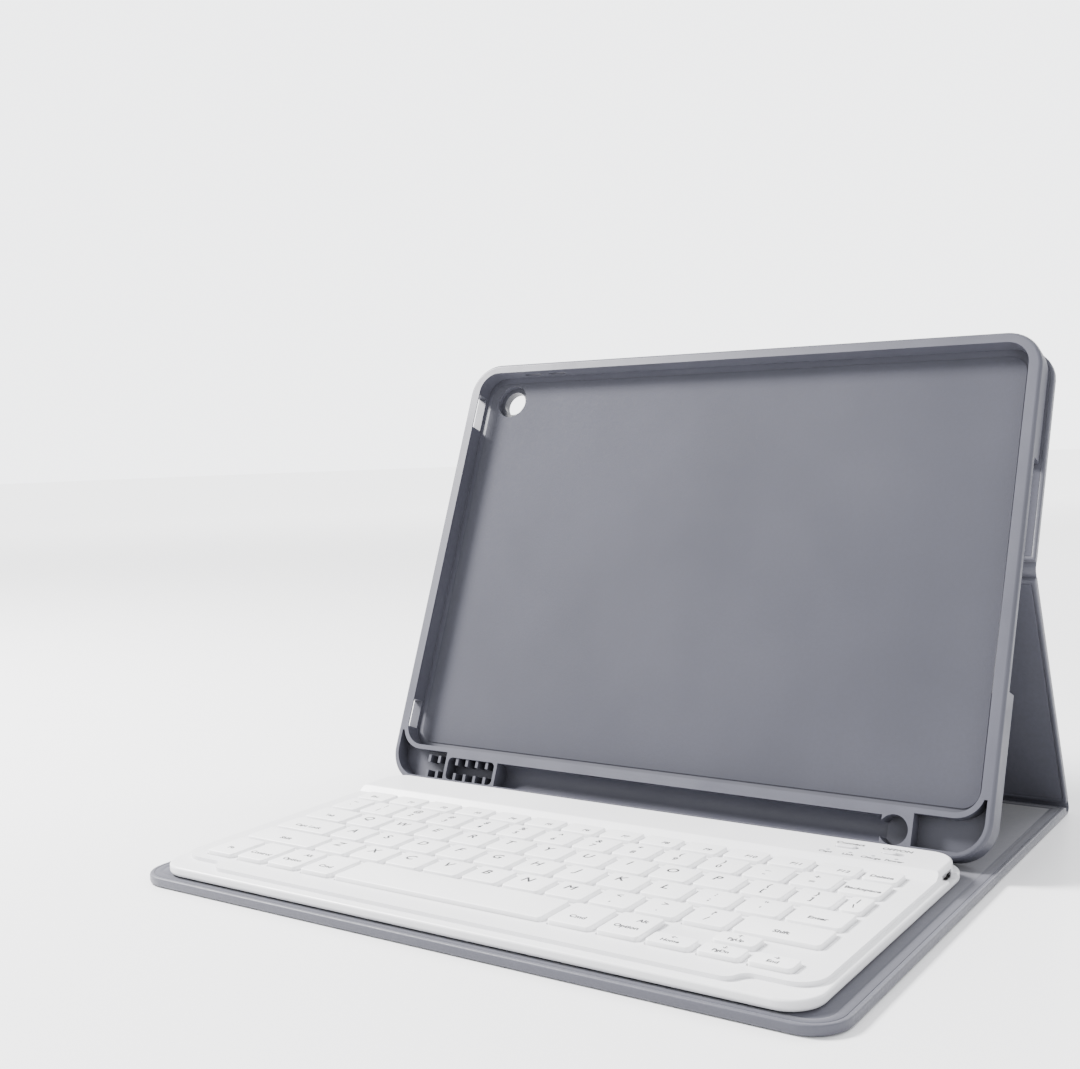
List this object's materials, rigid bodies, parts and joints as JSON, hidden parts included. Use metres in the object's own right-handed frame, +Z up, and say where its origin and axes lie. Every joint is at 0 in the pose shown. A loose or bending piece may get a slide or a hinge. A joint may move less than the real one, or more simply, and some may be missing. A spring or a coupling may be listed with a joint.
{
  "type": "tablet keyboard case",
  "caption": "Folding tablet case in typing position: soft tray on a kickstand, flat cover and a thin detachable wireless keyboard with pressing keys.",
  "frame": {"origin": "middle of the footprint, on the surface that the cover lies on", "axes": "+X to the right as the user sees it, +Y from the cover's front edge to the rear hinge, +Z up"},
  "size_m": [0.264, 0.2352, 0.1857],
  "materials": {
    "cover_leather": "fine grained matt synthetic leather",
    "board": "grey board",
    "cover_lining": "brushed microfibre",
    "steel": "plain",
    "magnet": "nickel plated",
    "tray_rubber": "soft matt",
    "keyboard_plastic": "satin white",
    "key_plastic": "satin white",
    "control_plastic": "satin white",
    "membrane": "translucent silicone",
    "battery_wrap": "foil pouch",
    "circuit": "solder mask",
    "light": "clear light pipe"
  },
  "bodies": {
    "base": {"cover_skin": "cover_leather", "front_board": "board", "spine_board": "board", "cover_liner": "cover_lining", "steel_plate": "steel", "cover_magnets": "magnet", "rear_hinge": "cover_leather"},
    "kickstand": {"kickstand_skin": "cover_leather", "kickstand_board": "board", "kickstand_liner": "cover_lining", "fold_hinge": "cover_leather"},
    "tray": {"upper_skin": "cover_leather", "upper_board": "board", "upper_glue": "board", "camera_ring": "cover_leather", "tray": "tray_rubber", "tray_lining": "cover_lining"},
    "keyboard": {"keyboard_bottom": "keyboard_plastic", "keyboard_top": "keyboard_plastic", "support_plate": "steel", "contact_membrane": "membrane", "key_domes": "membrane", "battery": "battery_wrap", "circuit_board": "circuit", "charging_socket": "steel", "status_lights": "light", "keyboard_magnets": "magnet", "keyboard_feet": "membrane", "case_screws": "steel"},
    "power_switch": {"power_switch": "control_plastic"},
    "connect_button": {"connect_button": "control_plastic"},
    "fn_key": {"fn_key": "key_plastic"},
    "control_key": {"control_key": "key_plastic"},
    "left_option_key": {"left_option_key": "key_plastic"},
    "left_command_key": {"left_command_key": "key_plastic"},
    "space_bar": {"space_bar": "key_plastic"},
    "right_command_key": {"right_command_key": "key_plastic"},
    "right_option_key": {"right_option_key": "key_plastic"},
    "left_arrow_key": {"left_arrow_key": "key_plastic"},
    "down_arrow_key": {"down_arrow_key": "key_plastic"},
    "up_arrow_key": {"up_arrow_key": "key_plastic"},
    "right_arrow_key": {"right_arrow_key": "key_plastic"},
    "left_shift_key": {"left_shift_key": "key_plastic"},
    "right_shift_key": {"right_shift_key": "key_plastic"},
    "caps_lock_key": {"caps_lock_key": "key_plastic"},
    "enter_key": {"enter_key": "key_plastic"},
    "tab_key": {"tab_key": "key_plastic"},
    "backslash_key": {"backslash_key": "key_plastic"},
    "backspace_key": {"backspace_key": "key_plastic"},
    "escape_key": {"escape_key": "key_plastic"},
    "delete_key": {"delete_key": "key_plastic"},
    "lower_letter_keys": {"lower_letter_keys": "key_plastic"},
    "home_letter_keys": {"home_letter_keys": "key_plastic"},
    "upper_letter_keys": {"upper_letter_keys": "key_plastic"},
    "number_keys": {"number_keys": "key_plastic"},
    "function_keys": {"function_keys": "key_plastic"}
  },
  "joints": [
    {"name": "kickstand_hinge", "type": "hinge", "parent": "base", "child": "kickstand", "pos_m": [0, 0.1156, 0.002], "axis": [1, 0, 0], "range_deg": [-115.72, 0]},
    {"name": "fold_hinge", "type": "hinge", "parent": "kickstand", "child": "tray", "pos_m": [0, 0.07024, 0.09997], "axis": [1, 0, 0], "range_deg": [0, 48.44]},
    {"name": "keyboard_lift", "type": "slide", "parent": "base", "child": "keyboard", "axis": [0, 0, 1], "range_m": [0, 0.06]},
    {"name": "power_switch_slide", "type": "slide", "parent": "keyboard", "child": "power_switch", "axis": [1, 0, 0], "range_m": [0, 0.0024]},
    {"name": "connect_button_press", "type": "slide", "parent": "keyboard", "child": "connect_button", "axis": [0, 0, 1], "range_m": [-0.0006, 0], "stiffness_N_per_m": 300, "springref_m": 0.0005},
    {"name": "fn_key_press", "type": "slide", "parent": "keyboard", "child": "fn_key", "axis": [0, 0, 1], "range_m": [-0.0012, 0], "stiffness_N_per_m": 450, "springref_m": 0.0005},
    {"name": "control_key_press", "type": "slide", "parent": "keyboard", "child": "control_key", "axis": [0, 0, 1], "range_m": [-0.0012, 0], "stiffness_N_per_m": 450, "springref_m": 0.0005},
    {"name": "left_option_key_press", "type": "slide", "parent": "keyboard", "child": "left_option_key", "axis": [0, 0, 1], "range_m": [-0.0012, 0], "stiffness_N_per_m": 450, "springref_m": 0.0005},
    {"name": "left_command_key_press", "type": "slide", "parent": "keyboard", "child": "left_command_key", "axis": [0, 0, 1], "range_m": [-0.0012, 0], "stiffness_N_per_m": 450, "springref_m": 0.0005},
    {"name": "space_bar_press", "type": "slide", "parent": "keyboard", "child": "space_bar", "axis": [0, 0, 1], "range_m": [-0.0012, 0], "stiffness_N_per_m": 900, "springref_m": 0.0005},
    {"name": "right_command_key_press", "type": "slide", "parent": "keyboard", "child": "right_command_key", "axis": [0, 0, 1], "range_m": [-0.0012, 0], "stiffness_N_per_m": 450, "springref_m": 0.0005},
    {"name": "right_option_key_press", "type": "slide", "parent": "keyboard", "child": "right_option_key", "axis": [0, 0, 1], "range_m": [-0.0012, 0], "stiffness_N_per_m": 450, "springref_m": 0.0005},
    {"name": "left_arrow_key_press", "type": "slide", "parent": "keyboard", "child": "left_arrow_key", "axis": [0, 0, 1], "range_m": [-0.0012, 0], "stiffness_N_per_m": 450, "springref_m": 0.0005},
    {"name": "down_arrow_key_press", "type": "slide", "parent": "keyboard", "child": "down_arrow_key", "axis": [0, 0, 1], "range_m": [-0.0012, 0], "stiffness_N_per_m": 450, "springref_m": 0.0005},
    {"name": "up_arrow_key_press", "type": "slide", "parent": "keyboard", "child": "up_arrow_key", "axis": [0, 0, 1], "range_m": [-0.0012, 0], "stiffness_N_per_m": 450, "springref_m": 0.0005},
    {"name": "right_arrow_key_press", "type": "slide", "parent": "keyboard", "child": "right_arrow_key", "axis": [0, 0, 1], "range_m": [-0.0012, 0], "stiffness_N_per_m": 450, "springref_m": 0.0005},
    {"name": "left_shift_key_press", "type": "slide", "parent": "keyboard", "child": "left_shift_key", "axis": [0, 0, 1], "range_m": [-0.0012, 0], "stiffness_N_per_m": 450, "springref_m": 0.0005},
    {"name": "right_shift_key_press", "type": "slide", "parent": "keyboard", "child": "right_shift_key", "axis": [0, 0, 1], "range_m": [-0.0012, 0], "stiffness_N_per_m": 450, "springref_m": 0.0005},
    {"name": "caps_lock_key_press", "type": "slide", "parent": "keyboard", "child": "caps_lock_key", "axis": [0, 0, 1], "range_m": [-0.0012, 0], "stiffness_N_per_m": 450, "springref_m": 0.0005},
    {"name": "enter_key_press", "type": "slide", "parent": "keyboard", "child": "enter_key", "axis": [0, 0, 1], "range_m": [-0.0012, 0], "stiffness_N_per_m": 450, "springref_m": 0.0005},
    {"name": "tab_key_press", "type": "slide", "parent": "keyboard", "child": "tab_key", "axis": [0, 0, 1], "range_m": [-0.0012, 0], "stiffness_N_per_m": 450, "springref_m": 0.0005},
    {"name": "backslash_key_press", "type": "slide", "parent": "keyboard", "child": "backslash_key", "axis": [0, 0, 1], "range_m": [-0.0012, 0], "stiffness_N_per_m": 450, "springref_m": 0.0005},
    {"name": "backspace_key_press", "type": "slide", "parent": "keyboard", "child": "backspace_key", "axis": [0, 0, 1], "range_m": [-0.0012, 0], "stiffness_N_per_m": 450, "springref_m": 0.0005},
    {"name": "escape_key_press", "type": "slide", "parent": "keyboard", "child": "escape_key", "axis": [0, 0, 1], "range_m": [-0.0012, 0], "stiffness_N_per_m": 450, "springref_m": 0.0005},
    {"name": "delete_key_press", "type": "slide", "parent": "keyboard", "child": "delete_key", "axis": [0, 0, 1], "range_m": [-0.0012, 0], "stiffness_N_per_m": 450, "springref_m": 0.0005},
    {"name": "lower_letter_keys_press", "type": "slide", "parent": "keyboard", "child": "lower_letter_keys", "axis": [0, 0, 1], "range_m": [-0.0012, 0], "stiffness_N_per_m": 4500, "springref_m": 0.0005},
    {"name": "home_letter_keys_press", "type": "slide", "parent": "keyboard", "child": "home_letter_keys", "axis": [0, 0, 1], "range_m": [-0.0012, 0], "stiffness_N_per_m": 4950, "springref_m": 0.0005},
    {"name": "upper_letter_keys_press", "type": "slide", "parent": "keyboard", "child": "upper_letter_keys", "axis": [0, 0, 1], "range_m": [-0.0012, 0], "stiffness_N_per_m": 5400, "springref_m": 0.0005},
    {"name": "number_keys_press", "type": "slide", "parent": "keyboard", "child": "number_keys", "axis": [0, 0, 1], "range_m": [-0.0012, 0], "stiffness_N_per_m": 5850, "springref_m": 0.0005},
    {"name": "function_keys_press", "type": "slide", "parent": "keyboard", "child": "function_keys", "axis": [0, 0, 1], "range_m": [-0.0012, 0], "stiffness_N_per_m": 5400, "springref_m": 0.0005}
  ],
  "couplings": [
    {"joint": "fold_hinge", "follows": "kickstand_hinge", "ratio": -0.41852}
  ]
}
